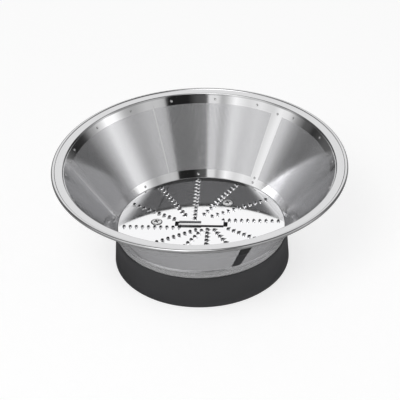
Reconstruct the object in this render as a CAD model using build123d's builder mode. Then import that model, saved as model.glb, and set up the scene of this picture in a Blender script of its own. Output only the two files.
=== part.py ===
"""Juicer mesh screen: a conical stainless filter basket with a grater disc on a black moulded base.

Millimetres. The origin is at the centre of the base's underside, and +Z is the spin axis, up through
the basket's mouth. -Y is the near side. Angles in plan are measured from +X, anticlockwise from above.
"""

import os
from math import asin, atan, cos, degrees, radians, sin

from build123d import *

os.makedirs("parts", exist_ok=True)

# Moulded base
shoulder_height = 22.2
foot_radius = 57.2
shoulder_radius = 55.9
base_wall = 2.4
foot_wall = 3.7
edge_chamfer = 0.6
spigot_height = 1.8
web_thickness = 2.6
hub_radius = 15.0
hub_foot_gap = 2.0
socket_radius = 9.0
socket_depth = 16.0
spline_count = 6
spline_height = 1.6
spline_width = 3.2
rib_thickness = 2.0
rib_depth = 9.0

# Screws that hold the disc down
screw_count = 3
screw_circle_radius = 29.4
screw_turn = 52.3
screw_head_radius = 3.3
screw_head_height = 1.1
screw_head_chamfer = 0.5
screw_core_radius = 1.45
screw_length = 11.0
seat_depth = 0.4
seat_clearance = 0.5
recess_width = 0.8
recess_length = 3.6
recess_depth = 0.7
thread_clearance = 0.05
plate_clearance = 0.2
boss_wall = 2.4
boss_floor = 1.5
small_round_sides = 16

# Grater disc
disc_thickness = 1.0
disc_gap = 0.3
tooth_pitch = 4.0
tooth_width = 2.4
tooth_length = 4.4
tooth_head = 1.1
tooth_rise = 0.9
tooth_taper = 25.0
pierce_inset = 1.2
pierce_length = 1.6
pierce_width = 0.9
tooth_inset = 4.2
row_lead = 5.2
row_teeth = (10, 11, 11, 12, 10, 9, 10, 12, 12, 12, 11, 9)
pattern_turn = -4.5
blade_length = 14.6
blade_width = 5.2
blade_rise = 1.3
blade_sheet = 0.7
blade_root = 0.4
relief_length = 2.6

# Conical wall: its inner face, and the sheets that lie against its outer face
cone_foot_radius = 54.4
cone_head_radius = 87.4
cone_height = 46.7
foil_thickness = 0.3
sheet_thickness = 0.6
weld_gap = 0.05
foil_foot_gap = 0.5
foil_head_gap = 1.2
seam_turn = 49.7
panel_count = 3
lap_width = 4.7
lap_joint = 1.6
lap_end_gap = 0.3
seam_gap = 0.1

# Gaps in the mesh panels, a few large ones in place of the fine perforation
solid_margin = 5.6
gap_rows = 3
gap_columns = 10
gap_width = 4.2
row_bar = 2.0
side_border = 2.4

# Foot ring
flange_width = 5.2
collar_reach = 0.3
collar_clearance = 0.1

# Rim ring
rim_width = 7.6
skirt_width = 5.2
bead_radius = 1.35
bead_rise = 0.5
bead_sides = 8

# Worked out from the sizes above
seat_height = shoulder_height + spigot_height
disc_height = seat_height + disc_thickness
head_height = disc_height + cone_height
half_angle = atan((cone_head_radius - cone_foot_radius) / cone_height)
cone_slant = cone_height / cos(half_angle)
ring_inner = foil_thickness + weld_gap
ring_outer = ring_inner + sheet_thickness
rim_radius = cone_head_radius + rim_width
pitch_angle = 360 / panel_count


def on_cone(slant, outward=0.0):
    """Radius and height of a point beside the cone's inner face, up its slope and out from it."""
    radius = cone_foot_radius + slant * sin(half_angle) + outward * cos(half_angle)
    height = disc_height + slant * cos(half_angle) - outward * sin(half_angle)
    return radius, height


def cone_at_height(height, outward=0.0):
    """The point of a surface beside the cone that lies at a given height."""
    slant = (height - disc_height + outward * sin(half_angle)) / cos(half_angle)
    return on_cone(slant, outward)


def cone_at_radius(radius, outward=0.0):
    """The point of a surface beside the cone that lies at a given radius."""
    slant = (radius - cone_foot_radius - outward * cos(half_angle)) / sin(half_angle)
    return on_cone(slant, outward)


def turned_plane(angle):
    """The upright half-plane through the spin axis at a plan angle."""
    return Plane(
        origin=(0, 0, 0),
        x_dir=(cos(radians(angle)), sin(radians(angle)), 0),
        z_dir=(sin(radians(angle)), -cos(radians(angle)), 0),
    )


# Moulded base: outer wall, web under the disc, hub with a splined drive socket, ribs and screw bosses
collar_radius = cone_foot_radius + collar_reach
spigot_radius = collar_radius - collar_clearance
base_bore = shoulder_radius - base_wall
foot_bore = foot_radius - foot_wall
web_height = seat_height - web_thickness
boss_radius = screw_core_radius + boss_wall

with BuildPart() as base_ring:
    with BuildSketch(Plane.XZ) as base_section:
        with BuildLine():
            Polyline(
                (0, web_height),
                (base_bore, web_height),
                (foot_bore, 0),
                (foot_radius, 0),
                (shoulder_radius, shoulder_height),
                (spigot_radius, shoulder_height),
                (spigot_radius, seat_height),
                (0, seat_height),
                close=True,
            )
        make_face()
        for corner in ((foot_radius, 0), (shoulder_radius, shoulder_height)):
            chamfer(base_section.vertices().sort_by_distance(Vector(*corner))[0], edge_chamfer)
    revolve(axis=Axis.Z)
    with BuildSketch(Plane.XY.offset(hub_foot_gap)):
        Circle(hub_radius)
    extrude(until=Until.NEXT)
    with BuildSketch(Plane.XY.offset(web_height - rib_depth)):
        with PolarLocations(0, screw_count, start_angle=screw_turn):
            Rectangle(base_bore + base_wall / 2, rib_thickness, align=(Align.MIN, Align.CENTER))
    extrude(amount=rib_depth)
    with BuildSketch(Plane.XY.offset(seat_height - screw_length - boss_floor)):
        with PolarLocations(screw_circle_radius, screw_count, start_angle=screw_turn):
            RegularPolygon(boss_radius, small_round_sides)
    extrude(until=Until.NEXT)
    with BuildSketch(Plane.XY.offset(seat_height - screw_length)):
        with PolarLocations(screw_circle_radius, screw_count, start_angle=screw_turn):
            RegularPolygon(screw_core_radius + thread_clearance, small_round_sides)
    extrude(amount=screw_length, mode=Mode.SUBTRACT)
    with BuildSketch(Plane.XY.offset(hub_foot_gap)):
        Circle(socket_radius)
        with PolarLocations(socket_radius - spline_height, spline_count):
            Rectangle(2 * spline_height, spline_width, align=(Align.MIN, Align.CENTER), mode=Mode.SUBTRACT)
    extrude(amount=socket_depth, mode=Mode.SUBTRACT)
base_ring.part.label = "base_ring"
export_step(base_ring.part, "parts/base_ring.step")

# Grater disc: flat plate with rows of raised and pierced teeth, a pair of lanced blades and screw seats
disc_radius = collar_radius - disc_gap
outer_tooth = disc_radius - tooth_inset
row_angle = 360 / len(row_teeth)
shoulder_place = tooth_head - tooth_length / 2
pierce_start = pierce_inset - tooth_length / 2
blade_tilt = degrees(asin(blade_rise / blade_width))
tooth_places = [
    Location((0, 0, 0), (0, 0, row * row_angle + pattern_turn))
    * Location((outer_tooth - step * tooth_pitch, row_lead, 0), (0, 0, 90))
    for row, count in enumerate(row_teeth)
    for step in range(count)
]
blade_planes = [
    Plane(
        Location((0, 0, disc_height), (0, 0, pattern_turn + turn))
        * Location((-blade_length / 2, blade_width / 2, 0), (-blade_tilt, 0, 0))
    )
    for turn in (0, 180)
]

with BuildPart() as grater_disc:
    with BuildSketch(Plane.XY.offset(seat_height)):
        Circle(disc_radius)
        with Locations(Location((0, 0, 0), (0, 0, pattern_turn))):
            Rectangle(2 * (blade_length + relief_length), blade_width, mode=Mode.SUBTRACT)
    extrude(amount=disc_thickness)
    with BuildSketch(*blade_planes):
        with Locations((0, blade_root)):
            Rectangle(blade_length, blade_width + blade_root, align=(Align.CENTER, Align.MAX))
    extrude(amount=-blade_sheet)
    with BuildSketch(Plane.XY.offset(disc_height)):
        with Locations(*tooth_places):
            Polygon(
                (tooth_length / 2, 0),
                (shoulder_place, tooth_width / 2),
                (-tooth_length / 2, 0),
                (shoulder_place, -tooth_width / 2),
                align=None,
            )
    extrude(amount=tooth_rise, taper=tooth_taper)
    with BuildSketch(Plane.XY.offset(seat_height)):
        with Locations(*tooth_places):
            Polygon(
                (pierce_start + pierce_length, 0),
                (pierce_start, pierce_width / 2),
                (pierce_start, -pierce_width / 2),
                align=None,
            )
    extrude(amount=disc_thickness + tooth_rise, mode=Mode.SUBTRACT)
    with BuildSketch(Plane.XY.offset(disc_height)):
        with PolarLocations(screw_circle_radius, screw_count, start_angle=screw_turn):
            RegularPolygon(screw_head_radius + seat_clearance, small_round_sides)
    extrude(amount=-seat_depth, mode=Mode.SUBTRACT)
    with BuildSketch(Plane.XY.offset(seat_height)):
        with PolarLocations(screw_circle_radius, screw_count, start_angle=screw_turn):
            RegularPolygon(screw_core_radius + plate_clearance, small_round_sides)
    extrude(amount=disc_thickness, mode=Mode.SUBTRACT)
grater_disc.part.label = "grater_disc"
export_step(grater_disc.part, "parts/grater_disc.step")

# Three cross-recess screws, their low heads on the disc and their shanks in the base's bosses
screw_seat = disc_height - seat_depth

with BuildPart() as disc_screws:
    with BuildSketch(Plane.XY.offset(screw_seat)):
        with PolarLocations(screw_circle_radius, screw_count, start_angle=screw_turn):
            RegularPolygon(screw_head_radius, small_round_sides)
    extrude(amount=screw_head_height)
    chamfer(disc_screws.edges().group_by(Axis.Z)[-1], screw_head_chamfer)
    with BuildSketch(Plane.XY.offset(screw_seat + screw_head_height)):
        with PolarLocations(screw_circle_radius, screw_count, start_angle=screw_turn):
            Rectangle(recess_length, recess_width)
            Rectangle(recess_width, recess_length)
    extrude(amount=-recess_depth, mode=Mode.SUBTRACT)
    with BuildSketch(Plane.XY.offset(screw_seat)):
        with PolarLocations(screw_circle_radius, screw_count, start_angle=screw_turn):
            RegularPolygon(screw_core_radius, small_round_sides)
    extrude(amount=-screw_length)
disc_screws.part.label = "disc_screws"
export_step(disc_screws.part, "parts/disc_screws.step")

# Foot ring: a collar round the base's spigot, turned out into the flange that carries the mesh
with BuildPart() as foot_ring:
    with BuildSketch(Plane.XZ) as foot_section:
        with BuildLine():
            Polyline(
                (collar_radius, shoulder_height),
                cone_at_radius(collar_radius, ring_inner),
                on_cone(flange_width, ring_inner),
                on_cone(flange_width, ring_outer),
                cone_at_radius(collar_radius + sheet_thickness, ring_outer),
                (collar_radius + sheet_thickness, shoulder_height),
                close=True,
            )
        make_face()
    revolve(axis=Axis.Z)
foot_ring.part.label = "foot_ring"
export_step(foot_ring.part, "parts/foot_ring.step")

# Mesh panels: three sectors of foil with solid margins, each with a lap that lies under the next one
foil_foot = foil_foot_gap
foil_head = cone_slant - foil_head_gap
mid_radius = on_cone(cone_slant / 2)[0]
lap_angle = degrees(lap_width / mid_radius)
joint_angle = degrees(lap_joint / mid_radius)
seam_angle = degrees(seam_gap / mid_radius)
side_angle = degrees(side_border / mid_radius)
lap_start = seam_turn + pitch_angle - joint_angle
seam_end = seam_turn + pitch_angle - seam_angle
lap_foot = flange_width + lap_end_gap
lap_head = foil_head - skirt_width - lap_end_gap
lap_outer = ring_inner + foil_thickness
foil_layers = (
    (seam_turn, pitch_angle, foil_foot, foil_head, 0, foil_thickness, Mode.ADD),
    (lap_start, joint_angle + lap_angle, lap_foot, lap_head, foil_thickness / 2, lap_outer, Mode.ADD),
    (seam_end, 2 * lap_angle, 0, cone_slant, -foil_thickness, ring_inner, Mode.SUBTRACT),
)
meshed_start = seam_turn + lap_angle
meshed_arc = pitch_angle - lap_angle - side_angle
column_angle = meshed_arc / (gap_columns + 0.5)
row_pitch = (cone_slant - 2 * solid_margin + row_bar) / gap_rows
gap_angle = degrees(gap_width / mid_radius)

with BuildPart() as mesh_panel:
    for start, arc, foot, head, inner, outer, mode in foil_layers:
        with BuildSketch(turned_plane(start)):
            with BuildLine():
                Polyline(
                    on_cone(foot, inner),
                    on_cone(head, inner),
                    on_cone(head, outer),
                    on_cone(foot, outer),
                    close=True,
                )
            make_face()
        revolve(axis=Axis.Z, revolution_arc=arc, mode=mode)
    for row in range(gap_rows):
        gap_foot = solid_margin + row * row_pitch
        gap_head = gap_foot + row_pitch - row_bar
        for column in range(gap_columns):
            start = meshed_start + (column + 0.5 + 0.5 * (row % 2)) * column_angle - gap_angle / 2
            with BuildSketch(turned_plane(start)):
                with BuildLine():
                    Polyline(
                        on_cone(gap_foot, -foil_thickness),
                        on_cone(gap_head, -foil_thickness),
                        on_cone(gap_head, 2 * foil_thickness),
                        on_cone(gap_foot, 2 * foil_thickness),
                        close=True,
                    )
                make_face()
            revolve(axis=Axis.Z, revolution_arc=gap_angle, mode=Mode.SUBTRACT)

for number in range(panel_count):
    panel = mesh_panel.part.rotate(Axis.Z, number * pitch_angle)
    panel.label = f"mesh_panel_{number + 1}"
    export_step(panel, f"parts/mesh_panel_{number + 1}.step")

# Rim ring: skirt outside the mesh, flat lip and a closed bead at its edge
bead_x = rim_radius - bead_radius
bead_height = head_height + bead_rise - bead_radius
bead_turn = 360 / bead_sides

with BuildPart() as rim_ring:
    with BuildSketch(Plane.XZ):
        with BuildLine():
            Polyline(
                cone_at_height(head_height, ring_inner),
                (bead_x, head_height),
                (bead_x, head_height - sheet_thickness),
                cone_at_height(head_height - sheet_thickness, ring_outer),
                on_cone(foil_head - skirt_width, ring_outer),
                on_cone(foil_head - skirt_width, ring_inner),
                close=True,
            )
        make_face()
        with Locations((bead_x, bead_height)):
            RegularPolygon(bead_radius, bead_sides, rotation=bead_turn / 2, major_radius=False)
    revolve(axis=Axis.Z)
rim_ring.part.label = "rim_ring"
export_step(rim_ring.part, "parts/rim_ring.step")
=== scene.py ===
"""Dresses the juicer mesh screen: foil, rings, grater disc, screws, spot welds, base and studio."""
import math

import bmesh
import bpy
from bpy.props import FloatProperty, FloatVectorProperty, IntProperty, PointerProperty
from mathutils import Matrix, Vector
from mathutils.geometry import tessellate_polygon


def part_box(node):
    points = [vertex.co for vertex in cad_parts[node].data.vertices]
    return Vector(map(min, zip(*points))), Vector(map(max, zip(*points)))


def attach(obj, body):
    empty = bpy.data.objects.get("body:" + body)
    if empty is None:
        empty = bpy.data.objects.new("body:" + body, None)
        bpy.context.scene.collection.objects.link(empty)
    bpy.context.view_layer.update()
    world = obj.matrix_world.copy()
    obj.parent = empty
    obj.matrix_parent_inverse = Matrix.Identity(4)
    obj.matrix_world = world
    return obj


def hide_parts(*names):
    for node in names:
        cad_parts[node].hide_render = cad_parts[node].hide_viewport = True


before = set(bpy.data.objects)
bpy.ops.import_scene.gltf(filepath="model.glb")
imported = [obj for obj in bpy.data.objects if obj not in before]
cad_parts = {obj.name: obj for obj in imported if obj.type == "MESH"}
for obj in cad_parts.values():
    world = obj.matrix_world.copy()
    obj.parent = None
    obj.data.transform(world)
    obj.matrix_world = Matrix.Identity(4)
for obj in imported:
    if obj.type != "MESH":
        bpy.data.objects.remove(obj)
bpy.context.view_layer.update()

bl_info = {
    "name": "Juicer mesh screen",
    "version": (1, 0, 0),
    "blender": (4, 5, 0),
    "location": "View3D > Sidebar > Mesh screen",
    "description": "Builds the finished surfaces of a conical juicer basket around its packed frame",
    "category": "Object",
}

# Sizes are in millimetres and turns in degrees unless a comment says otherwise; MM makes sizes metres
MM = 0.001

# The cone's inner face: its foot stands on the disc's upper face
CONE_FOOT_RADIUS = 54.4
CONE_HEAD_RADIUS = 87.4
CONE_HEIGHT = 46.7
DISC_HEIGHT = 25.0
HEAD_HEIGHT = DISC_HEIGHT + CONE_HEIGHT
HALF_ANGLE = math.atan((CONE_HEAD_RADIUS - CONE_FOOT_RADIUS) / CONE_HEIGHT)
CONE_SLANT = CONE_HEIGHT / math.cos(HALF_ANGLE)

# How far the rings' two faces lie outside the cone's inner face, with the foil between
FOIL = 0.3
SHEET = 0.6
WELD_GAP = 0.05
RING_INNER = FOIL + WELD_GAP
RING_OUTER = RING_INNER + SHEET

# Ways up the slope: where the foil starts and ends, and how much of it each ring backs
FOIL_FOOT = 0.5
FOIL_HEAD = CONE_SLANT - 1.2
FLANGE = 5.2
SKIRT = 5.2

# Turns in plan, in degrees from +X: where the seam strips start, how wide they are, and the screws
SEAM_START = 47.8
SEAM_WIDTH = 5.7
SCREW_TURN = 52.3
PANEL_COUNT = 3


def srgb(code):
    """Linear red, green and blue of an sRGB hex colour."""
    values = [int(code[i : i + 2], 16) / 255 for i in (1, 3, 5)]
    return [v / 12.92 if v <= 0.04045 else ((v + 0.055) / 1.055) ** 2.4 for v in values]


def on_cone(slant, outward=0.0):
    """Radius and height of a point beside the cone's inner face."""
    radius = CONE_FOOT_RADIUS + slant * math.sin(HALF_ANGLE) + outward * math.cos(HALF_ANGLE)
    height = DISC_HEIGHT + slant * math.cos(HALF_ANGLE) - outward * math.sin(HALF_ANGLE)
    return radius, height


def cone_at_height(height, outward=0.0):
    """The point of a surface beside the cone that lies at a given height."""
    rise = height - DISC_HEIGHT + outward * math.sin(HALF_ANGLE)
    return on_cone(rise / math.cos(HALF_ANGLE), outward)


def cone_at_radius(radius, outward=0.0):
    """The point of a surface beside the cone that lies at a given radius."""
    reach = radius - CONE_FOOT_RADIUS - outward * math.cos(HALF_ANGLE)
    return on_cone(reach / math.sin(HALF_ANGLE), outward)


# Settings


def colour_setting(name, description, code):
    """A colour in the sidebar whose default is an sRGB hex colour."""
    return FloatVectorProperty(
        name=name, description=description, default=srgb(code), subtype="COLOR", size=3
    )


class FoilSettings(bpy.types.PropertyGroup):
    """Sizes of the perforated foil."""

    cells_around: IntProperty(
        name="Cells around", description="Cells across half a panel", default=95, min=20, subtype="UNSIGNED"
    )
    cells_up: IntProperty(
        name="Cells up", description="Cells from foot to head", default=73, min=10, subtype="UNSIGNED"
    )
    hole_share: FloatProperty(
        name="Hole share",
        description="Hole width over the pitch",
        default=0.24,
        min=0.1,
        max=0.9,
        subtype="FACTOR",
    )
    thickness: FloatProperty(
        name="Thickness",
        description="Sheet thickness of the foil",
        default=FOIL * MM,
        unit="LENGTH",
        subtype="DISTANCE",
    )
    margin: FloatProperty(
        name="Margin",
        description="Solid band at foot and head",
        default=0.0055,
        unit="LENGTH",
        subtype="DISTANCE",
    )


class FinishSettings(bpy.types.PropertyGroup):
    """Colours of the finishes."""

    etched_foil: colour_setting("Etched foil", "The perforated zone of the foil", "#DDDDDF")
    rolled_foil: colour_setting("Rolled foil", "The foil's seams and margins", "#EFEFF0")
    pressed_sheet: colour_setting("Pressed sheet", "The rim and the foot ring", "#D6D6D7")
    polished_plate: colour_setting("Polished plate", "The grater disc's face", "#F2F2F3")
    # The torn edge is rough torn or cut steel, and its dark grey is painted shade in the disc's holes, slot
    # and seats and the screws' recesses
    torn_edge_shade: colour_setting("Torn edge shade", "Painted shade where the disc and screws are torn or cut", "#4A4A4C")
    turned_screw: colour_setting("Turned screw", "The screw heads", "#F2F2F2")
    spot_weld: colour_setting("Spot weld", "The prints of the welds", "#D8D8D8")
    moulding: colour_setting("Moulding", "The black base", "#2C2C2E")


class StudioSettings(bpy.types.PropertyGroup):
    """The soft lamp over the basket."""

    lamp_size: FloatProperty(
        name="Lamp size",
        description="Width of the soft lamp",
        default=0.9,
        unit="LENGTH",
        subtype="DISTANCE",
    )
    lamp_power: FloatProperty(
        name="Lamp power", description="Power of the soft lamp", default=9.0, unit="POWER"
    )


# Nodes

# The math node and its settings
MATH = "ShaderNodeMath"
ADD = {"operation": "ADD"}
SUBTRACT = {"operation": "SUBTRACT"}
MULTIPLY = {"operation": "MULTIPLY"}
GREATER = {"operation": "GREATER_THAN"}
ARCTAN2 = {"operation": "ARCTAN2"}

# Welding distances of the geometry trees, in metres
FOIL_MERGE = 2e-6
PATTERN_MERGE = 1e-6


def add_node(tree, kind, settings=None, **sockets):
    """Adds a node with its settings; an input takes a value, a socket or a node, by name or number."""
    node = tree.nodes.new(kind)
    for name, value in (settings or {}).items():
        setattr(node, name, value)
    for key, value in sockets.items():
        numbered = key[0] == "i" and key[1:].isdigit()
        socket = node.inputs[int(key[1:]) if numbered else key.replace("_", " ")]
        if isinstance(value, bpy.types.Node):
            value = value.outputs[0]
        if isinstance(value, bpy.types.NodeSocket):
            tree.links.new(value, socket)
        else:
            socket.default_value = value
    return node


def new_tree(name, **inputs):
    """A geometry node tree whose inputs are named by kind, its input node's sockets and its output node."""
    tree = bpy.data.node_groups.new(name, "GeometryNodeTree")
    for kind, labels in inputs.items():
        for label in labels:
            tree.interface.new_socket(name=label, in_out="INPUT", socket_type="NodeSocket" + kind)
    tree.interface.new_socket(name="Geometry", in_out="OUTPUT", socket_type="NodeSocketGeometry")
    given = tree.nodes.new("NodeGroupInput").outputs
    return tree, given, tree.nodes.new("NodeGroupOutput")


def run_tree(tree, name, values):
    """Runs a geometry node tree on an empty mesh, its inputs set by socket identifier, to a plain mesh."""
    carrier = new_object(name, bpy.data.meshes.new(name + "_blank"))
    modifier = carrier.modifiers.new("nodes", "NODES")
    modifier.node_group = tree
    for socket in tree.interface.items_tree:
        if socket.item_type == "SOCKET" and socket.in_out == "INPUT" and socket.name in values:
            modifier[socket.identifier] = values[socket.name]
    bpy.context.view_layer.update()
    seen = carrier.evaluated_get(bpy.context.evaluated_depsgraph_get())
    mesh = bpy.data.meshes.new_from_object(seen)
    mesh.name = name
    blank = carrier.data
    bpy.data.objects.remove(carrier)
    bpy.data.meshes.remove(blank)
    return mesh


# Finishes

# The forming lines of real sheet are under 0.1 mm wide, too fine for the render, so they are drawn from
# 0.6 mm up. Each pair says how long they are around the axis, at MAP_RADIUS from it, and up the axis.
MAP_RADIUS = 70.0
LINE_DEPTH = 0.02
UP_THE_CONE = (0.6, 50.0)
ROUND_THE_RING = (20.0, 0.6)
OVER_THE_PLATE = (10.0, 0.8)
OVER_A_TEAR = (0.8, 0.8)
OVER_A_HEAD = (2.0, 0.6)

# The spark texture of the mould is about 0.1 mm on the real base, and is drawn at 0.8 mm so that it shows
PLASTIC_GRAIN = 0.8
PLASTIC_GRAIN_DEPTH = 0.05
PLASTIC_ROUGHNESS = 0.42
PLASTIC_UNEVENNESS = 0.06


def new_material(name):
    """A node material with an empty tree, and the tree itself."""
    material = bpy.data.materials.new(name)
    material.use_nodes = True
    material.node_tree.nodes.clear()
    return material, material.node_tree


def sheet_steel(name, colour, lines, roughness, unevenness, metallic=1.0):
    """Stainless sheet, rolled and then formed: a near mirror broken by fine lines that follow the forming."""
    around, up = lines
    material, tree = new_material(name)
    place = add_node(tree, "ShaderNodeTexCoord").outputs["Object"]
    parts = add_node(tree, "ShaderNodeSeparateXYZ", Vector=place)
    turn = add_node(tree, MATH, ARCTAN2, i0=parts.outputs["Y"], i1=parts.outputs["X"])
    # Turn and height become a flat map whose unit is the length of a line
    across = add_node(tree, MATH, MULTIPLY, i0=turn, i1=MAP_RADIUS / around)
    along = add_node(tree, MATH, MULTIPLY, i0=parts.outputs["Z"], i1=1 / (up * MM))
    flat = add_node(tree, "ShaderNodeCombineXYZ", X=across, Y=along)
    texture = add_node(tree, "ShaderNodeTexNoise", Vector=flat, Scale=1.0, Detail=3.0, Roughness=0.6)
    gloss = add_node(
        tree,
        "ShaderNodeMapRange",
        Value=texture,
        From_Min=0.3,
        From_Max=0.7,
        To_Min=roughness * (1 - unevenness),
        To_Max=roughness * (1 + unevenness),
    )
    bump = add_node(tree, "ShaderNodeBump", Height=texture, Strength=0.08, Distance=LINE_DEPTH * MM)
    shader = add_node(
        tree,
        "ShaderNodeBsdfPrincipled",
        Base_Color=(*colour, 1),
        Metallic=metallic,
        Roughness=gloss,
        Normal=bump,
    )
    add_node(tree, "ShaderNodeOutputMaterial", Surface=shader)
    return material


def moulded_plastic(name, colour):
    """Injection-moulded ABS: a soft sheen, broken by the fine spark texture of its mould."""
    material, tree = new_material(name)
    place = add_node(tree, "ShaderNodeTexCoord").outputs["Object"]
    texture = add_node(tree, "ShaderNodeTexNoise", Vector=place, Scale=1 / (PLASTIC_GRAIN * MM), Detail=2.0)
    gloss = add_node(
        tree,
        "ShaderNodeMapRange",
        Value=texture,
        To_Min=PLASTIC_ROUGHNESS - PLASTIC_UNEVENNESS,
        To_Max=PLASTIC_ROUGHNESS + PLASTIC_UNEVENNESS,
    )
    bump = add_node(tree, "ShaderNodeBump", Height=texture, Strength=0.15, Distance=PLASTIC_GRAIN_DEPTH * MM)
    shader = add_node(
        tree, "ShaderNodeBsdfPrincipled", Base_Color=(*colour, 1), Roughness=gloss, IOR=1.5, Normal=bump
    )
    add_node(tree, "ShaderNodeOutputMaterial", Surface=shader)
    return material


# Objects and meshes

BEND_STEPS = 6


def new_object(name, data):
    """An object at the origin, linked to the scene."""
    made = bpy.data.objects.new(name, data)
    bpy.context.scene.collection.objects.link(made)
    return made


def finish_piece(piece, slot_name, *nodes):
    """The piece rides on the root body and stands for its nodes, which it hides; the slot name is not used.
    """
    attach(piece, "root")
    if nodes:
        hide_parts(*nodes)


def link_mesh(name, mesh, sharp_angle=math.radians(35)):
    """An object at the origin around a mesh that is smooth but for its sharp edges."""
    piece = new_object(name, mesh)
    mesh.shade_smooth()
    mesh.set_sharp_from_angle(angle=sharp_angle)
    return piece


def form_mesh(form, name):
    """The finished form as a mesh; the form is freed."""
    mesh = bpy.data.meshes.new(name)
    form.to_mesh(mesh)
    form.free()
    return mesh


def arc_points(centre, radius, start, end, steps):
    """Points of an arc in the radius and height plane, angles in degrees."""
    angles = [math.radians(start + (end - start) * i / steps) for i in range(steps + 1)]
    return [(centre[0] + radius * math.cos(a), centre[1] + radius * math.sin(a)) for a in angles]


def rounded(profile, corners):
    """The closed profile with the numbered corners replaced by short arcs of the given radius."""
    points = []
    count = len(profile)
    for index, point in enumerate(profile):
        radius = corners.get(index)
        if not radius:
            points.append(point)
            continue
        here = Vector(point)
        before = (Vector(profile[index - 1]) - here).normalized()
        after = (Vector(profile[(index + 1) % count]) - here).normalized()
        half = before.angle(after) / 2
        reach = radius / math.tan(half)
        centre = here + (before + after).normalized() * (radius / math.sin(half))
        start = here + before * reach - centre
        swing = start.angle_signed(here + after * reach - centre)
        for step in range(BEND_STEPS + 1):
            turned = Matrix.Rotation(-swing * step / BEND_STEPS, 2) @ start
            points.append(tuple(centre + turned))
    return points


def lathe(name, profile, segments):
    """A closed profile turned all the way round the spin axis."""
    mesh = bpy.data.meshes.new(name)
    count = len(profile)
    verts = []
    for step in range(segments):
        turn = 2 * math.pi * step / segments
        verts += [(r * MM * math.cos(turn), r * MM * math.sin(turn), z * MM) for r, z in profile]
    faces = []
    for step in range(segments):
        here, there = step * count, (step + 1) % segments * count
        for i in range(count):
            j = (i + 1) % count
            faces.append((here + i, there + i, there + j, here + j))
    mesh.from_pydata(verts, [], faces)
    form = bmesh.new()
    form.from_mesh(mesh)
    bmesh.ops.recalc_face_normals(form, faces=form.faces)
    form.to_mesh(mesh)
    form.free()
    return mesh


def circle(radius, count, centre=(0.0, 0.0)):
    """Points of a circle, anticlockwise."""
    turns = [2 * math.pi * i / count for i in range(count)]
    return [(centre[0] + radius * math.cos(a), centre[1] + radius * math.sin(a)) for a in turns]


def placed(points, x, y, turn):
    """Plan points turned by an angle and moved to a place."""
    c, s = math.cos(turn), math.sin(turn)
    return [(x + px * c - py * s, y + px * s + py * c) for px, py in points]


def start_form():
    """An empty form with a mark on its faces for torn or cut steel, which is painted dark as shade."""
    form = bmesh.new()
    form.faces.layers.int.new("torn")
    return form


def add_ring(form, points, height):
    """Adds a loop of points at one height."""
    return [form.verts.new((x * MM, y * MM, height * MM)) for x, y in points]


def join_rings(form, lower, upper, smooth=True, torn=False):
    """Bridges two rings of as many points with quads, marked where the steel is torn or cut and painted dark
    as shade.
    """
    mark = form.faces.layers.int["torn"]
    count = len(lower)
    for i in range(count):
        j = (i + 1) % count
        face = form.faces.new((lower[i], lower[j], upper[j], upper[i]))
        face.smooth = smooth
        face[mark] = int(torn)


def fill_plate(form, loops, upward, torn=False):
    """Fills the first loop, less the others, with flat triangles."""
    mark = form.faces.layers.int["torn"]
    chain = [vert for loop in loops for vert in loop]
    outlines = [[Vector((vert.co.x / MM, vert.co.y / MM, 0)) for vert in loop] for loop in loops]
    for corners in tessellate_polygon(outlines):
        face = form.faces.new([chain[i] for i in corners])
        face.normal_update()
        if (face.normal.z > 0) != upward:
            face.normal_flip()
        face.smooth = False
        face[mark] = int(torn)


# Foil panels

# In degrees of turn: the solid strip and border at the line where a panel's halves meet, and the hairline
# left open between neighbours
HALF_WAY_STRIP = 0.7
HALF_WAY_BORDER = 0.2
PANEL_GAP = 0.02


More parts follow.
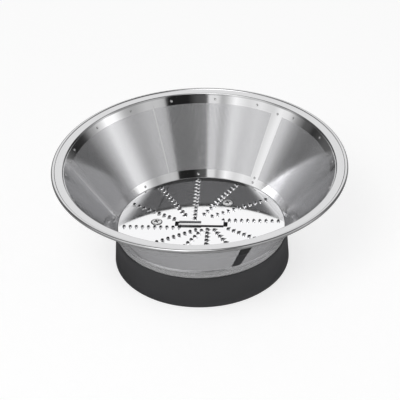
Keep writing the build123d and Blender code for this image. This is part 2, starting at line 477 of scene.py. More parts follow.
def foil_tree():
    """A grid of cells, each with a hole in it, rolled into a sector of the cone and given its thickness."""
    tree, given, output = new_tree(
        "Perforated foil",
        Int=("Cells Around", "Cells Up"),
        Float=("Hole Share", "Thickness", "Margin", "Strip", "Border", "Start", "Arc", "Foot", "Slant"),
        Material=("Etched", "Plain"),
    )
    # The grid lies flat at first: x is the turn in radians and y the way up the slope in metres
    columns = add_node(tree, MATH, ADD, i0=given["Cells Around"], i1=1.0)
    rows = add_node(tree, MATH, ADD, i0=given["Cells Up"], i1=1.0)
    grid = add_node(
        tree,
        "GeometryNodeMeshGrid",
        Size_X=given["Arc"],
        Size_Y=given["Slant"],
        Vertices_X=columns,
        Vertices_Y=rows,
    )
    place = add_node(tree, "GeometryNodeInputPosition")
    flat = add_node(tree, "ShaderNodeSeparateXYZ", Vector=place)
    x, y = flat.outputs["X"], flat.outputs["Y"]
    half_arc = add_node(tree, MATH, MULTIPLY, i0=given["Arc"], i1=0.5)
    half_slant = add_node(tree, MATH, MULTIPLY, i0=given["Slant"], i1=0.5)
    from_left = add_node(tree, MATH, ADD, i0=x, i1=half_arc)
    from_right = add_node(tree, MATH, SUBTRACT, i0=half_arc, i1=x)
    from_middle = add_node(tree, MATH, {"operation": "ABSOLUTE"}, i0=y)
    from_end = add_node(tree, MATH, SUBTRACT, i0=half_slant, i1=from_middle)
    # The holes keep clear of the margins, of the strip on the left and of the border on the right
    past_margin = add_node(tree, MATH, GREATER, i0=from_end, i1=given["Margin"])
    past_strip = add_node(tree, MATH, GREATER, i0=from_left, i1=given["Strip"])
    past_border = add_node(tree, MATH, GREATER, i0=from_right, i1=given["Border"])
    between = add_node(tree, MATH, MULTIPLY, i0=past_strip, i1=past_border)
    inside = add_node(tree, MATH, MULTIPLY, i0=past_margin, i1=between)
    marked = add_node(
        tree,
        "GeometryNodeStoreNamedAttribute",
        {"data_type": "BOOLEAN", "domain": "FACE"},
        Geometry=grid,
        Name="etched",
        Value=inside,
    )
    zone = add_node(tree, "GeometryNodeInputNamedAttribute", {"data_type": "BOOLEAN"}, Name="etched")
    split = add_node(
        tree,
        "GeometryNodeExtrudeMesh",
        {"mode": "FACES"},
        Mesh=marked,
        Selection=zone,
        Offset_Scale=0.0,
        Individual=True,
    )
    cells = split.outputs["Top"]
    holes = add_node(
        tree,
        "GeometryNodeScaleElements",
        {"domain": "FACE"},
        Geometry=split,
        Selection=cells,
        Scale=given["Hole Share"],
    )
    pierced = add_node(
        tree, "GeometryNodeDeleteGeometry", {"domain": "FACE"}, Geometry=holes, Selection=cells
    )
    # Rolling: the turn goes round the axis, and the way up the slope gives the radius and the height
    turn = add_node(tree, MATH, ADD, i0=from_left, i1=given["Start"])
    middle = add_node(tree, MATH, ADD, i0=given["Foot"], i1=half_slant)
    slope = add_node(tree, MATH, ADD, i0=y, i1=middle)
    spread = add_node(tree, MATH, MULTIPLY, i0=slope, i1=math.sin(HALF_ANGLE))
    radius = add_node(tree, MATH, ADD, i0=spread, i1=CONE_FOOT_RADIUS * MM)
    rise = add_node(tree, MATH, MULTIPLY, i0=slope, i1=math.cos(HALF_ANGLE))
    height = add_node(tree, MATH, ADD, i0=rise, i1=DISC_HEIGHT * MM)
    cosine = add_node(tree, MATH, {"operation": "COSINE"}, i0=turn)
    sine = add_node(tree, MATH, {"operation": "SINE"}, i0=turn)
    forward = add_node(tree, MATH, MULTIPLY, i0=radius, i1=cosine)
    sideways = add_node(tree, MATH, MULTIPLY, i0=radius, i1=sine)
    rolled = add_node(tree, "ShaderNodeCombineXYZ", X=forward, Y=sideways, Z=height)
    sector = add_node(tree, "GeometryNodeSetPosition", Geometry=pierced, Position=rolled)
    # The rolled grid's faces point out of the cone: a flipped copy is the inner face of the foil, and the
    # outer face is pushed out by the thickness
    inner = add_node(tree, "GeometryNodeFlipFaces", Mesh=sector)
    outer = add_node(
        tree,
        "GeometryNodeExtrudeMesh",
        {"mode": "FACES"},
        Mesh=sector,
        Offset_Scale=given["Thickness"],
        Individual=False,
    )
    joined = add_node(tree, "GeometryNodeJoinGeometry")
    tree.links.new(inner.outputs[0], joined.inputs[0])
    tree.links.new(outer.outputs["Mesh"], joined.inputs[0])
    closed = add_node(tree, "GeometryNodeMergeByDistance", Geometry=joined, Distance=FOIL_MERGE)
    real = add_node(tree, "GeometryNodeRealizeInstances", Geometry=closed)
    plain = add_node(tree, "GeometryNodeSetMaterial", Geometry=real, Material=given["Plain"])
    etched = add_node(
        tree, "GeometryNodeSetMaterial", Geometry=plain, Selection=zone, Material=given["Etched"]
    )
    tree.links.new(etched.outputs[0], output.inputs[0])
    return tree


class SCREEN_OT_foil(bpy.types.Operator):
    """Builds the three perforated foil panels, each as two halves that meet at its middle line."""

    bl_idname = "mesh_screen.foil"
    bl_label = "Foil panels"

    def execute(self, context):
        sizes = context.scene.screen_foil
        colours = context.scene.screen_finish
        tree = foil_tree()
        # Etched steel is satin; less than full metal stands for the finest holes, which dull real foil
        etched = sheet_steel(
            "Etched stainless foil",
            colours.etched_foil,
            UP_THE_CONE,
            roughness=0.12,
            unevenness=0.3,
            metallic=0.74,
        )
        # Left as rolled, the seams and margins are nearly a mirror, with faint lines up the cone
        plain = sheet_steel(
            "Rolled stainless foil", colours.rolled_foil, UP_THE_CONE, roughness=0.07, unevenness=0.3
        )
        sector = 360 / PANEL_COUNT
        middle = SEAM_START + SEAM_WIDTH / 2 + sector / 2
        edges = (SEAM_START, middle, SEAM_START + sector)
        strips = (SEAM_WIDTH, HALF_WAY_STRIP)
        borders = (HALF_WAY_BORDER, 0.0)
        gap = math.radians(PANEL_GAP)
        values = {
            "Cells Around": sizes.cells_around,
            "Cells Up": sizes.cells_up,
            "Hole Share": sizes.hole_share,
            "Thickness": sizes.thickness,
            "Margin": sizes.margin,
            "Foot": FOIL_FOOT * MM,
            "Slant": (FOIL_HEAD - FOIL_FOOT) * MM,
            "Etched": etched,
            "Plain": plain,
        }
        for number in range(PANEL_COUNT):
            for side in range(2):
                name = f"foil_panel_{number + 1}_{side + 1}"
                start, end = (math.radians(edges[side + i] + number * sector) for i in range(2))
                values["Strip"] = math.radians(strips[side])
                values["Border"] = math.radians(borders[side])
                values["Start"] = start + gap / 2
                values["Arc"] = end - start - gap
                mesh = run_tree(tree, name, values)
                finish_piece(link_mesh(name, mesh), "mesh_foil", f"mesh_panel_{number + 1}")
        return {"FINISHED"}


# Pressed rings

# The rim's bead and bends, and the foot ring's upright collar with its bends and sheared edges
BEAD_RADIUS = 1.35
LIP_BEND = 0.9
LIP_UNDER_BEND = 0.5
COLLAR_RADIUS = 54.7
COLLAR_BEND = 0.5
COLLAR_OUTER_BEND = 0.9
SHEARED_EDGE = 0.15
BEAD_STEPS = 40
RIM_SEGMENTS = 320
COLLAR_SEGMENTS = 256


class SCREEN_OT_rings(bpy.types.Operator):
    """Builds the rim with its lip and bead, and the foot ring under the foil."""

    bl_idname = "mesh_screen.rings"
    bl_label = "Rim and foot ring"

    def execute(self, context):
        colour = context.scene.screen_finish.pressed_sheet
        # Pressed bright sheet: clear reflections, drawn out along fine lines that run round the ring
        steel = sheet_steel(
            "Pressed stainless sheet", colour, ROUND_THE_RING, roughness=0.12, unevenness=0.25
        )
        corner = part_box("rim_ring")[1]
        bead = (corner[0] / MM - BEAD_RADIUS, corner[2] / MM - BEAD_RADIUS)
        lip_top = HEAD_HEIGHT
        lip_under = lip_top - SHEET
        # Where the lip's two faces run into the bead, as angles around the bead's centre
        top_angle = 180 - math.degrees(math.asin((lip_top - bead[1]) / BEAD_RADIUS))
        under_angle = 180 - math.degrees(math.asin((lip_under - bead[1]) / BEAD_RADIUS))
        skirt = FOIL_HEAD - SKIRT
        profile = [
            on_cone(skirt, RING_INNER),
            cone_at_height(lip_top, RING_INNER),
            *arc_points(bead, BEAD_RADIUS, top_angle, under_angle - 360, BEAD_STEPS),
            cone_at_height(lip_under, RING_OUTER),
            on_cone(skirt, RING_OUTER),
        ]
        profile = rounded(profile, {1: LIP_BEND, len(profile) - 2: LIP_UNDER_BEND})
        rim = link_mesh("rim", lathe("rim", profile, RIM_SEGMENTS))
        rim.data.materials.append(steel)
        finish_piece(rim, "pressed_steel", "rim_ring")
        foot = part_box("foot_ring")[0][2] / MM
        outline = [
            (COLLAR_RADIUS, foot),
            cone_at_radius(COLLAR_RADIUS, RING_INNER),
            on_cone(FLANGE, RING_INNER),
            on_cone(FLANGE, RING_OUTER),
            cone_at_radius(COLLAR_RADIUS + SHEET, RING_OUTER),
            (COLLAR_RADIUS + SHEET, foot),
        ]
        bends = {1: COLLAR_BEND, 3: SHEARED_EDGE, 4: COLLAR_OUTER_BEND, 5: SHEARED_EDGE}
        flange = link_mesh("foot_flange", lathe("foot_flange", rounded(outline, bends), COLLAR_SEGMENTS))
        # The collar is duller than the rim, worn satin by the drawing die
        satin = sheet_steel(
            "Satin stainless collar", colour, ROUND_THE_RING, roughness=0.25, unevenness=0.25, metallic=0.8
        )
        flange.data.materials.append(satin)
        finish_piece(flange, "pressed_steel", "foot_ring")
        return {"FINISHED"}


# Grater disc

PLATE = 1.0
PLATE_RADIUS = 54.4
PLATE_SIDES = 256
PATTERN_TURN = -4.5
TOOTH_LENGTH = 4.4
TOOTH_WIDTH = 2.4
TOOTH_PITCH = 4.0
TOOTH_INSET = 4.2
ROW_LEAD = 5.2
ROW_TEETH = (10, 11, 11, 12, 10, 9, 10, 12, 12, 12, 11, 9)
BLADE_LENGTH = 14.6
BLADE_WIDTH = 5.2
BLADE_SHEET = 0.7
# A blade's section from its root to its cutting edge: how far across the slot, and how far above the plate
BLADE_PROFILE = ((-0.4, 0.0), (0.0, 0.0), (0.35, 0.85), (3.4, 1.22), (BLADE_WIDTH, 1.28))
# The side of that section, counted from its root, that takes the cut steel finish: its dark grey is painted
# shade along the bend
BLADE_RISER = 1
RELIEF = 2.6

# Rings of a tooth from its foot on the plate, over its torn rim and down through its hole: how far each
# lies inside the tooth's outline, its height over the plate, and the share of its length kept at the point
TOOTH_RINGS = (
    (0.0, 0.0, 1.0),
    (0.07, 0.14, 0.82),
    (0.16, 0.5, 0.58),
    (0.22, 0.8, 0.48),
    (0.27, 0.9, 0.46),
    (0.33, 0.84, 0.44),
)
TOOTH_HOLE = ((0.37, 0.0, 0.42), (0.37, -PLATE, 0.42))
# The last bands, down the inside of the rim and the wall of the hole, take the torn steel finish, whose dark
# grey is painted shade in the hole
TORN_SHADED_RINGS = 2
TOOTH_STEPS = 12
LEVEL = 0.9999

# Screws: where they stand, their seats in the disc, and their heads, recesses and shanks
SCREW_CIRCLE = 29.4
SCREW_COUNT = 3
SEAT_DEPTH = 0.4
SEAT_GAP = 0.5
HOLE_RADIUS = 1.65
SEAT_SIDES = 32
HEAD_RADIUS = 3.3
HEAD_TALL = 1.1
HEAD_UNDERCUT = 0.25
HEAD_UNDERCUT_TALL = 0.2
HEAD_EDGE = 0.4
HEAD_EDGE_STEPS = 4
HEAD_EDGE_LEAN = 80
HEAD_CROWN = 0.15
CROWN_SHARES = (0.85, 0.75, 0.66)
RECESS_LENGTH = 3.6
RECESS_WIDTH = 0.9
RECESS_DEPTH = 0.8
RECESS_DIP = 0.03
RECESS_TAPER = 0.8
RECESS_TURN = 20
SHANK_RADIUS = 1.45
SHANK_LENGTH = 11.0
SCREW_SIDES = 40


def teardrop(inside, point_share):
    """A tooth's outline, drawn in by a distance, with its round head at -x and its point at +x."""
    head = TOOTH_WIDTH / 2
    centre = head - TOOTH_LENGTH / 2
    radius = head - inside
    tip = centre + (TOOTH_LENGTH / 2 - centre) * point_share
    edge = math.acos(radius / (tip - centre)) if tip - centre > radius else 0.0
    points = [(tip, 0.0)]
    for step in range(TOOTH_STEPS + 1):
        turn = edge + (2 * math.pi - 2 * edge) * step / TOOTH_STEPS
        points.append((centre + radius * math.cos(turn), radius * math.sin(turn)))
    return points


def tooth_places():
    """Plan position and heading of each tooth: straight rows beside the disc's radii."""
    for row, count in enumerate(ROW_TEETH):
        turn = math.radians(row * 360 / len(ROW_TEETH) + PATTERN_TURN)
        for step in range(count):
            along = PLATE_RADIUS - TOOTH_INSET - step * TOOTH_PITCH
            x = along * math.cos(turn) - ROW_LEAD * math.sin(turn)
            y = along * math.sin(turn) + ROW_LEAD * math.cos(turn)
            yield x, y, turn + math.pi / 2


def screw_places():
    """Plan positions of the screws' axes."""
    for number in range(SCREW_COUNT):
        turn = math.radians(SCREW_TURN + number * 360 / SCREW_COUNT)
        yield SCREW_CIRCLE * math.cos(turn), SCREW_CIRCLE * math.sin(turn)


def add_blade(form, side):
    """Adds one of the two lanced blades, whose riser is marked as cut steel with painted shade."""
    turn = math.radians(PATTERN_TURN + 180 * side)
    ends = []
    for x in (-BLADE_LENGTH, 0.0):
        upper = [(x, BLADE_WIDTH / 2 - reach, rise) for reach, rise in BLADE_PROFILE]
        lower = [(x, y, rise - BLADE_SHEET) for x, y, rise in reversed(upper)]
        ends.append([])
        for px, py, rise in upper + lower:
            (wx, wy), = placed([(px, py)], 0, 0, turn)
            ends[-1].append(form.verts.new((wx * MM, wy * MM, (DISC_HEIGHT + rise) * MM)))
    first_side = len(form.faces)
    join_rings(form, *ends, smooth=False)
    form.faces.new(list(reversed(ends[0]))).smooth = False
    form.faces.new(ends[1]).smooth = False
    form.faces.ensure_lookup_table()
    form.faces[first_side + BLADE_RISER][form.faces.layers.int["torn"]] = 1


def plate_mesh():
    """The flat plate with its slot, screw seats and tooth holes, and its two lanced blades."""
    form = start_form()
    top, under = DISC_HEIGHT, DISC_HEIGHT - PLATE
    edge = circle(PLATE_RADIUS, PLATE_SIDES)
    tops, unders = [add_ring(form, edge, top)], [add_ring(form, edge, under)]
    join_rings(form, unders[0], tops[0])
    length, half = BLADE_LENGTH + RELIEF, BLADE_WIDTH / 2
    corners = [(-length, -half), (length, -half), (length, half), (-length, half)]
    slot = placed(corners, 0, 0, math.radians(PATTERN_TURN))
    tops.append(add_ring(form, slot, top))
    unders.append(add_ring(form, slot, under))
    # The slot's walls are marked torn steel, painted dark as shade down the slot
    join_rings(form, tops[-1], unders[-1], smooth=False, torn=True)
    for place in screw_places():
        seat = circle(HEAD_RADIUS + SEAT_GAP, SEAT_SIDES, place)
        bore = circle(HOLE_RADIUS, SEAT_SIDES, place)
        tops.append(add_ring(form, seat, top))
        floor_edge = add_ring(form, seat, top - SEAT_DEPTH)
        # The seat's wall and floor are marked torn steel, painted dark as shade round the screw head
        join_rings(form, tops[-1], floor_edge, torn=True)
        hole = add_ring(form, bore, top - SEAT_DEPTH)
        join_rings(form, floor_edge, hole, smooth=False, torn=True)
        unders.append(add_ring(form, bore, under))
        join_rings(form, hole, unders[-1])
    inside, height, share = TOOTH_HOLE[1]
    for x, y, turn in tooth_places():
        tops.append(add_ring(form, placed(teardrop(0.0, 1.0), x, y, turn), top))
        unders.append(add_ring(form, placed(teardrop(inside, share), x, y, turn), top + height))
    fill_plate(form, tops, True)
    fill_plate(form, unders, False)
    for side in range(2):
        add_blade(form, side)
    return form_mesh(form, "plate")


def tooth_mesh():
    """One tooth: the slope up from the plate, the rim and the wall of its hole."""
    form = start_form()
    loops = []
    for inside, height, share in (*TOOTH_RINGS, *TOOTH_HOLE):
        loops.append(add_ring(form, teardrop(inside, share), height))
    for index, (lower, upper) in enumerate(zip(loops, loops[1:])):
        # The rim's inner bands and the hole wall are marked torn steel, painted dark as shade in the hole
        join_rings(form, lower, upper, torn=index >= len(loops) - 1 - TORN_SHADED_RINGS)
    return form_mesh(form, "tooth")


def cross_outline(length, width):
    """A plus sign's twelve corners, anticlockwise."""
    a, b = length / 2, width / 2
    right_and_top = [(a, -b), (a, b), (b, b), (b, a), (-b, a), (-b, b)]
    return right_and_top + [(-x, -y) for x, y in right_and_top]


def screw_mesh():
    """A low round head with a softened edge and a cross recess, on a plain shank that points down."""
    form = start_form()
    rings = [
        add_ring(form, circle(HEAD_RADIUS - HEAD_UNDERCUT, SCREW_SIDES), 0.0),
        add_ring(form, circle(HEAD_RADIUS, SCREW_SIDES), HEAD_UNDERCUT_TALL),
    ]
    shoulder = HEAD_TALL - HEAD_CROWN
    for step in range(HEAD_EDGE_STEPS + 1):
        lean = math.radians(HEAD_EDGE_LEAN * step / HEAD_EDGE_STEPS)
        reach = HEAD_RADIUS - HEAD_EDGE + HEAD_EDGE * math.cos(lean)
        rise = shoulder - HEAD_EDGE + HEAD_EDGE * math.sin(lean)
        rings.append(add_ring(form, circle(reach, SCREW_SIDES), rise))
    for share in CROWN_SHARES:
        crown = HEAD_CROWN * (1 - share**2)
        rings.append(add_ring(form, circle(HEAD_RADIUS * share, SCREW_SIDES), shoulder + crown))
    for lower, upper in zip(rings, rings[1:]):
        join_rings(form, lower, upper)
    recess = cross_outline(RECESS_LENGTH, RECESS_WIDTH)
    mouth = add_ring(form, recess, HEAD_TALL - RECESS_DIP)
    bottom = [(x * RECESS_TAPER, y * RECESS_TAPER) for x, y in recess]
    floor_loop = add_ring(form, bottom, HEAD_TALL - RECESS_DEPTH)
    # The cross recess's walls and floor are marked torn steel, painted dark as shade in the recess
    join_rings(form, mouth, floor_loop, smooth=False, torn=True)
    fill_plate(form, [rings[-1], mouth], True)
    fill_plate(form, [floor_loop], True, torn=True)
    shank = [add_ring(form, circle(SHANK_RADIUS, SCREW_SIDES), height) for height in (0.0, -SHANK_LENGTH)]
    join_rings(form, shank[1], shank[0])
    fill_plate(form, [rings[0], shank[0]], False)
    fill_plate(form, [shank[1]], False)
    return form_mesh(form, "screw")


def points_mesh(name, places):
    """A mesh of loose points whose turn attribute holds the heading of each."""
    mesh = bpy.data.meshes.new(name)
    mesh.from_pydata([place[:3] for place in places], [], [])
    turns = mesh.attributes.new("turn", "FLOAT_VECTOR", "POINT")
    for index, place in enumerate(places):
        turns.data[index].vector = place[3]
    return mesh


def pattern_tree(name):
    """Sets a copy of one form on every point, turned as the point says, and welds it to a base mesh."""
    tree, given, output = new_tree(
        name, Object=("Form", "Places", "Base"), Material=("Finish", "Torn Shaded")
    )
    form = add_node(tree, "GeometryNodeObjectInfo", Object=given["Form"])
    places = add_node(tree, "GeometryNodeObjectInfo", Object=given["Places"])
    base = add_node(tree, "GeometryNodeObjectInfo", Object=given["Base"])
    turn = add_node(tree, "GeometryNodeInputNamedAttribute", {"data_type": "FLOAT_VECTOR"}, Name="turn")
    copies = add_node(
        tree,
        "GeometryNodeInstanceOnPoints",
        Points=places.outputs["Geometry"],
        Instance=form.outputs["Geometry"],
        Rotation=turn,
    )
    real = add_node(tree, "GeometryNodeRealizeInstances", Geometry=copies)
    joined = add_node(tree, "GeometryNodeJoinGeometry")
    tree.links.new(base.outputs["Geometry"], joined.inputs[0])
    tree.links.new(real.outputs[0], joined.inputs[0])
    welded = add_node(tree, "GeometryNodeMergeByDistance", Geometry=joined, Distance=PATTERN_MERGE)
    painted = add_node(tree, "GeometryNodeSetMaterial", Geometry=welded, Material=given["Finish"])
    # Faces marked torn take the second finish; on the disc that is the torn steel, whose dark grey is painted
    # shade
    torn = add_node(tree, "GeometryNodeInputNamedAttribute", {"data_type": "INT"}, Name="torn")
    edged = add_node(
        tree, "GeometryNodeSetMaterial", Geometry=painted, Selection=torn, Material=given["Torn Shaded"]
    )
    tree.links.new(edged.outputs[0], output.inputs[0])
    return tree


def run_pattern(tree, name, form, places, base, finish, torn):
    """Runs the pattern tree on three meshes and returns the plain mesh."""
    helpers = {}
    for label, mesh in (("Form", form), ("Places", places), ("Base", base)):
        helpers[label] = new_object(f"{name}_{label}", mesh)
    result = run_tree(tree, name, {**helpers, "Finish": finish, "Torn Shaded": torn})
    for helper in helpers.values():
        mesh = helper.data
        bpy.data.objects.remove(helper)
        bpy.data.meshes.remove(mesh)
    return result


class SCREEN_OT_disc(bpy.types.Operator):
    """Builds the grater disc with its teeth and blades, and the three screws on it."""

    bl_idname = "mesh_screen.disc"
    bl_label = "Grater disc and screws"

    def execute(self, context):
        colours = context.scene.screen_finish
        tree = pattern_tree("Pattern on a base")
        # Polished plate: the clearest mirror on the basket, which shows the studio whole
        steel = sheet_steel(
            "Polished stainless plate",
            colours.polished_plate,
            OVER_THE_PLATE,
            roughness=0.05,
            unevenness=0.2,
        )
        # Steel torn by the punch is rough; its dark grey is painted shade in the teeth's holes, the slot, the
        # seats and the recesses, so each tooth and slot reads as an edge
        torn = sheet_steel(
            "Torn steel edge, painted shade", colours.torn_edge_shade, OVER_A_TEAR, roughness=0.4, unevenness=0.3
        )
        places = [(x * MM, y * MM, DISC_HEIGHT * MM, (0, 0, turn)) for x, y, turn in tooth_places()]
        teeth = points_mesh("teeth", places)
        mesh = run_pattern(tree, "punched_disc", tooth_mesh(), teeth, plate_mesh(), steel, torn)
        disc = new_object("punched_disc", mesh)
        mesh.set_sharp_from_angle(angle=math.radians(50))
        # The plate's level faces stay flat, or the teeth would bend its reflections
        mesh.polygons.foreach_set("use_smooth", [abs(face.normal.z) < LEVEL for face in mesh.polygons])
        finish_piece(disc, "polished_steel", "grater_disc")
        # Turned heads are bright but not mirrors, so they stand out from the disc around them
        bright = sheet_steel(
            "Turned stainless screw", colours.turned_screw, OVER_A_HEAD, roughness=0.3, unevenness=0.25
        )
        seat = (DISC_HEIGHT - SEAT_DEPTH) * MM
        heading = (0, 0, math.radians(RECESS_TURN))
        points = points_mesh("screws", [(x * MM, y * MM, seat, heading) for x, y in screw_places()])
        blank = bpy.data.meshes.new("blank")
        mesh = run_pattern(tree, "cross_screws", screw_mesh(), points, blank, bright, torn)
        screws = link_mesh("cross_screws", mesh, sharp_angle=math.radians(40))
        finish_piece(screws, "screw_steel", "disc_screws")
        return {"FINISHED"}


# Spot welds

# Steps and first turns in degrees, and each weld's way up the slope
WELD_STEP = 20.0
HEAD_WELD_TURN = 81.9
HEAD_WELD_SLANT = 53.4
FOOT_WELD_TURN = 90.9
FOOT_WELD_SLANT = 2.7
SEAM_WELD_SLANTS = (6.0, 51.6)
WELD_RADIUS = 0.9
WELD_SIDES = 16
# A weld print's rings from its foot inwards: share of its radius, and height over the foil
WELD_PRINT = ((1.0, -0.1), (0.95, 0.1), (0.8, 0.22), (0.65, 0.18), (0.4, 0.05), (0.15, 0.02))


def weld_mesh():
    """A spot weld's print: a low ring with a dimple in it, its foot sunk in the foil."""
    form = start_form()
    rings = [add_ring(form, circle(WELD_RADIUS * share, WELD_SIDES), height) for share, height in WELD_PRINT]
    for lower, upper in zip(rings, rings[1:]):
        join_rings(form, lower, upper)
    fill_plate(form, [rings[-1]], True)
    fill_plate(form, [rings[0]], False)
    return form_mesh(form, "weld")


def weld_place(turn, slant):
    """A place on the cone's inner face whose heading turns the print to face the axis."""
    radius, height = on_cone(slant)
    a = math.radians(turn)
    lean, rise = math.cos(HALF_ANGLE), math.sin(HALF_ANGLE)
    facing = Vector((-lean * math.cos(a), -lean * math.sin(a), rise))
    heading = facing.to_track_quat("Z", "Y").to_euler()
    return radius * math.cos(a) * MM, radius * math.sin(a) * MM, height * MM, tuple(heading)


class SCREEN_OT_welds(bpy.types.Operator):
    """Builds the prints of the spot welds that hold the foil to the rim and the foot ring."""

    bl_idname = "mesh_screen.welds"
    bl_label = "Spot welds"

    def execute(self, context):
        # The electrode leaves a shallow bright print, a little duller than the rolled foil around it
        colour = context.scene.screen_finish.spot_weld
        steel = sheet_steel("Spot-welded stainless", colour, OVER_A_HEAD, roughness=0.15, unevenness=0.3)
        places = []
        for number in range(round(360 / WELD_STEP)):
            places.append(weld_place(HEAD_WELD_TURN + number * WELD_STEP, HEAD_WELD_SLANT))
        for number in range(round(180 / WELD_STEP)):
            places.append(weld_place(FOOT_WELD_TURN + number * 2 * WELD_STEP, FOOT_WELD_SLANT))
        for number in range(PANEL_COUNT):
            turn = SEAM_START + SEAM_WIDTH / 2 + number * 360 / PANEL_COUNT
            places += [weld_place(turn, slant) for slant in SEAM_WELD_SLANTS]
        tree = pattern_tree("Spot weld prints")
        blank = bpy.data.meshes.new("blank")
        mesh = run_pattern(tree, "spot_welds", weld_mesh(), points_mesh("welds", places), blank, steel, steel)
        finish_piece(link_mesh("spot_welds", mesh, sharp_angle=math.radians(60)), "mesh_foil")
        return {"FINISHED"}


# Moulded base

BASE_MERGE = 2e-6


class SCREEN_OT_base(bpy.types.Operator):
    """Finishes the moulded base as a welded copy of its solid."""

    bl_idname = "mesh_screen.base"
    bl_label = "Moulded base"

    def execute(self, context):
        # Black ABS: a dark satin that lights up softly towards the front
        plastic = moulded_plastic("Black moulded ABS", context.scene.screen_finish.moulding)
        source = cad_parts["base_ring"]
        form = bmesh.new()
        form.from_mesh(source.data)
        form.transform(source.matrix_world)
        bmesh.ops.remove_doubles(form, verts=form.verts, dist=BASE_MERGE)
        base = link_mesh("base", form_mesh(form, "base"), sharp_angle=math.radians(28))
        base.data.materials.clear()
        base.data.materials.append(plastic)
        finish_piece(base, "black_moulding", "base_ring")
        return {"FINISHED"}


# Studio

# The photograph's camera, from a fit to the object's circles. Pixels are those of the 400 x 400 frame.
CAMERA_RISE = math.radians(34.40)
CAMERA_ROLL = math.radians(1.80)
CAMERA_REACH = 1200.0
PIXELS_PER_MM = 1.5644
AIM_RIGHT = -0.405
AIM_UP = 23.208
AIM_HEIGHT = 72.2
FRAME_PIXELS = 400
SENSOR = 36.0
CLIP_START = 10.0

# The floor and the lamp, in metres. The floor's own brightness is PAPER_GLOW to the camera, on top of what
# light its paper takes, and FLOOR_BOUNCE to matt surfaces. In reflections its glow is a painted shadow,
# darker under the basket: each pair of the sheen table gives a distance from the axis and the brightness
# there.
FLOOR_SIZE = 6.0
PAPER_GREY = 0.5
PAPER_GLOW = 0.66
FLOOR_BOUNCE = 2.3
PAINTED_SHADOW_SHEEN = ((0.062, 0.03), (0.1, 0.3))
LAMP_STAND = (-0.5, -1.1, 1.5)
WHITE = (1, 1, 1, 1)

# The even light that matt surfaces see from all round
EVEN_LIGHT = 0.46

# Rows of studio panels as the metal sees them: azimuth from -Y towards +X in degrees, and how bright. Between
# two panels the brightness changes evenly.
LOW_PANELS = (
    (-180, 0.9), (-162, 0.15), (-125, 0.1), (-110, 0.03), (-88, 0.2), (-60, 0.7), (0, 0.5),
    (60, 0.6), (88, 0.5), (98, 0.05), (122, 0.02), (135, 0.15), (162, 0.2), (180, 0.9),
)
MIDDLE_PANELS = (
    (-180, 1.05), (-150, 1.0), (-135, 0.2), (-112, 0.1), (-100, 0.1), (-92, 0.35), (-84, 0.85),
    (-76, 1.0), (-70, 0.85), (-59, 1.0), (-47, 0.78), (-35, 1.1), (-27, 0.6), (-23, 0.45),
    (-19, 0.8), (-11, 0.85), (-9, 0.1), (8, 0.015), (28, 0.015), (30, 0.5), (36, 0.6),
    (47, 0.6), (58, 0.42), (66, 0.62), (75, 1.1), (84, 1.3), (90, 0.8), (98, 0.4),
    (112, 0.15), (130, 0.15), (150, 1.0), (180, 1.05),
)
UPPER_PANELS = (
    (-180, 1.05), (-150, 1.0), (-125, 0.15), (-85, 0.2), (-72, 0.5), (-59, 0.9), (-47, 0.78),
    (-40, 0.95), (-35, 1.1), (-27, 0.6), (-23, 0.45), (-19, 0.8), (-11, 0.85), (-9, 0.1),
    (0, 0.08), (8, 0.015), (28, 0.015), (30, 0.5), (36, 0.6), (47, 0.6), (58, 0.42),
    (90, 0.35), (105, 0.18), (125, 0.2), (150, 1.0), (180, 1.05),
)
HIGH_PANELS = (
    (-180, 0.05), (-140, 0.05), (-110, 0.3), (-68, 0.6), (-52, 2.7), (-25, 2.7),
    (5, 1.9), (28, 0.7), (43, 0.15), (150, 0.05), (180, 0.05),
)
# The elevations, in degrees, between which each row takes over from the one below it
ROW_STEPS = ((13, 19), (27, 33), (50, 60))


def place_camera():
    """The camera stands on the -Y side, looking down on the basket, with the photograph's roll."""
    rise, roll = CAMERA_RISE, CAMERA_ROLL
    tilt = Matrix(((1, 0, 0), (0, math.sin(rise), math.cos(rise)), (0, -math.cos(rise), math.sin(rise))))
    turn = Matrix(((math.cos(roll), -math.sin(roll), 0), (math.sin(roll), math.cos(roll), 0), (0, 0, 1)))
    to_view = turn @ tilt
    stand = to_view.transposed() @ Vector((-AIM_RIGHT, -AIM_UP, CAMERA_REACH)) + Vector((0, 0, AIM_HEIGHT))
    camera = new_object("Camera", bpy.data.cameras.new("Camera"))
    camera.matrix_world = Matrix.Translation(stand * MM) @ to_view.transposed().to_4x4()
    camera.data.sensor_width = SENSOR
    camera.data.lens = CAMERA_REACH * PIXELS_PER_MM * SENSOR / FRAME_PIXELS
    camera.data.clip_start = CLIP_START * MM
    bpy.context.scene.camera = camera


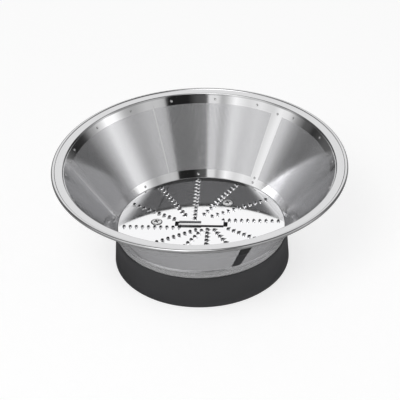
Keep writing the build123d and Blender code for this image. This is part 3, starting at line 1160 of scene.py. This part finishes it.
def studio_world():
    """White to the camera; metal sees a ring of soft light and dark panels; the rest sees an even light."""
    world = bpy.data.worlds.new("Studio")
    bpy.context.scene.world = world
    world.use_nodes = True
    tree = world.node_tree
    tree.nodes.clear()
    way = add_node(tree, "ShaderNodeTexCoord").outputs["Generated"]
    parts = add_node(tree, "ShaderNodeSeparateXYZ", Vector=way)
    front = add_node(tree, MATH, MULTIPLY, i0=parts.outputs["Y"], i1=-1.0)
    turn = add_node(tree, MATH, ARCTAN2, i0=parts.outputs["X"], i1=front)
    share = add_node(tree, "ShaderNodeMapRange", Value=turn, From_Min=-math.pi, From_Max=math.pi)
    rows = []
    for panels in (LOW_PANELS, MIDDLE_PANELS, UPPER_PANELS, HIGH_PANELS):
        ramp = add_node(tree, "ShaderNodeValToRGB", Fac=share)
        stops = ramp.color_ramp.elements
        stops.remove(stops[1])
        for index, (angle, grey) in enumerate(panels):
            stop = stops.new((angle + 180) / 360) if index else stops[0]
            stop.color = (grey, grey, grey, 1)
        rows.append(ramp.outputs["Color"])
    seen = rows[0]
    for (start, end), above in zip(ROW_STEPS, rows[1:]):
        step = add_node(
            tree,
            "ShaderNodeMapRange",
            {"interpolation_type": "SMOOTHSTEP"},
            Value=parts.outputs["Z"],
            From_Min=math.sin(math.radians(start)),
            From_Max=math.sin(math.radians(end)),
        )
        mix = add_node(tree, "ShaderNodeMix", {"data_type": "RGBA"}, Factor=step, i6=seen, i7=above)
        seen = mix.outputs[2]
    ray = add_node(tree, "ShaderNodeLightPath")
    even = add_node(tree, "ShaderNodeBackground", Color=WHITE, Strength=EVEN_LIGHT)
    ring = add_node(tree, "ShaderNodeBackground", Color=seen, Strength=1.0)
    white = add_node(tree, "ShaderNodeBackground", Color=WHITE, Strength=1.0)
    lit = add_node(tree, "ShaderNodeMixShader", i0=ray.outputs["Is Glossy Ray"], i1=even, i2=ring)
    shown = add_node(tree, "ShaderNodeMixShader", i0=ray.outputs["Is Camera Ray"], i1=lit, i2=white)
    add_node(tree, "ShaderNodeOutputWorld", Surface=shown)


def paper_sweep():
    """Matt paper that glows to white for the camera and keeps the basket's soft shadow; to metal it glows
    with a painted shadow, darker near the axis.
    """
    material, tree = new_material("Pale paper sweep")
    ray = add_node(tree, "ShaderNodeLightPath")
    paper = add_node(tree, "ShaderNodeBsdfDiffuse", Color=(PAPER_GREY, PAPER_GREY, PAPER_GREY, 1))
    glow = add_node(tree, "ShaderNodeEmission", Color=WHITE, Strength=PAPER_GLOW)
    both = add_node(tree, "ShaderNodeAddShader", i0=paper, i1=glow)
    bounce = add_node(tree, "ShaderNodeEmission", Color=WHITE, Strength=FLOOR_BOUNCE)
    # What metal sees of the floor is a painted shadow: its glow is dimmer under the basket
    place = add_node(tree, "ShaderNodeTexCoord").outputs["Object"]
    reach = add_node(tree, "ShaderNodeVectorMath", {"operation": "LENGTH"}, i0=place)
    (near, near_grey), (far, far_grey) = PAINTED_SHADOW_SHEEN
    shade = add_node(
        tree,
        "ShaderNodeMapRange",
        Value=reach.outputs["Value"],
        From_Min=near,
        From_Max=far,
        To_Min=near_grey,
        To_Max=far_grey,
    )
    shadowed_sheen = add_node(tree, "ShaderNodeEmission", Color=WHITE, Strength=shade)
    lit = add_node(tree, "ShaderNodeMixShader", i0=ray.outputs["Is Glossy Ray"], i1=bounce, i2=shadowed_sheen)
    seen = add_node(tree, "ShaderNodeMixShader", i0=ray.outputs["Is Camera Ray"], i1=lit, i2=both)
    add_node(tree, "ShaderNodeOutputMaterial", Surface=seen)
    return material


class SCREEN_OT_stage(bpy.types.Operator):
    """Sets up the pale floor, the soft lamp, the studio around them and the camera."""

    bl_idname = "mesh_screen.stage"
    bl_label = "Stage"

    def execute(self, context):
        studio = context.scene.screen_studio
        mesh = bpy.data.meshes.new("floor")
        half = FLOOR_SIZE / 2
        corners = [(-half, -half, 0), (half, -half, 0), (half, half, 0), (-half, half, 0)]
        mesh.from_pydata(corners, [], [(0, 1, 2, 3)])
        mesh.materials.append(paper_sweep())
        floor = new_object("floor", mesh)
        lamp = new_object("Soft lamp", bpy.data.lights.new("Soft lamp", "AREA"))
        lamp.data.size = studio.lamp_size
        lamp.data.energy = studio.lamp_power
        stand = Vector(LAMP_STAND)
        lamp.matrix_world = Matrix.Translation(stand) @ (-stand).to_track_quat("-Z", "Y").to_matrix().to_4x4()
        lamp.visible_glossy = False
        studio_world()
        place_camera()
        context.scene.view_settings.view_transform = "Standard"
        return {"FINISHED"}


class SCREEN_PT_panel(bpy.types.Panel):
    """Lists the sizes and the steps in the sidebar."""

    bl_idname = "SCREEN_PT_panel"
    bl_label = "Mesh screen"
    bl_space_type = "VIEW_3D"
    bl_region_type = "UI"
    bl_category = "Mesh screen"

    def draw(self, context):
        scene = context.scene
        for group in (scene.screen_foil, scene.screen_finish, scene.screen_studio):
            for name in group.__annotations__:
                self.layout.prop(group, name)
        for step in STEPS:
            self.layout.operator(step.bl_idname)


STEPS = (SCREEN_OT_foil, SCREEN_OT_rings, SCREEN_OT_disc, SCREEN_OT_welds, SCREEN_OT_base, SCREEN_OT_stage)
CLASSES = (FoilSettings, FinishSettings, StudioSettings, *STEPS, SCREEN_PT_panel)


def register():
    """Registers the classes and hangs the settings on the scene."""
    for item in CLASSES:
        bpy.utils.register_class(item)
    bpy.types.Scene.screen_foil = PointerProperty(type=FoilSettings)
    bpy.types.Scene.screen_finish = PointerProperty(type=FinishSettings)
    bpy.types.Scene.screen_studio = PointerProperty(type=StudioSettings)


def unregister():
    """Takes the settings and the classes away again."""
    del bpy.types.Scene.screen_studio
    del bpy.types.Scene.screen_finish
    del bpy.types.Scene.screen_foil
    for item in reversed(CLASSES):
        bpy.utils.unregister_class(item)


def main():
    """Builds every piece in order."""
    register()
    bpy.ops.mesh_screen.foil()
    bpy.ops.mesh_screen.rings()
    bpy.ops.mesh_screen.disc()
    bpy.ops.mesh_screen.welds()
    bpy.ops.mesh_screen.base()
    bpy.ops.mesh_screen.stage()
    bpy.context.view_layer.update()


if __name__ == "__main__":
    main()
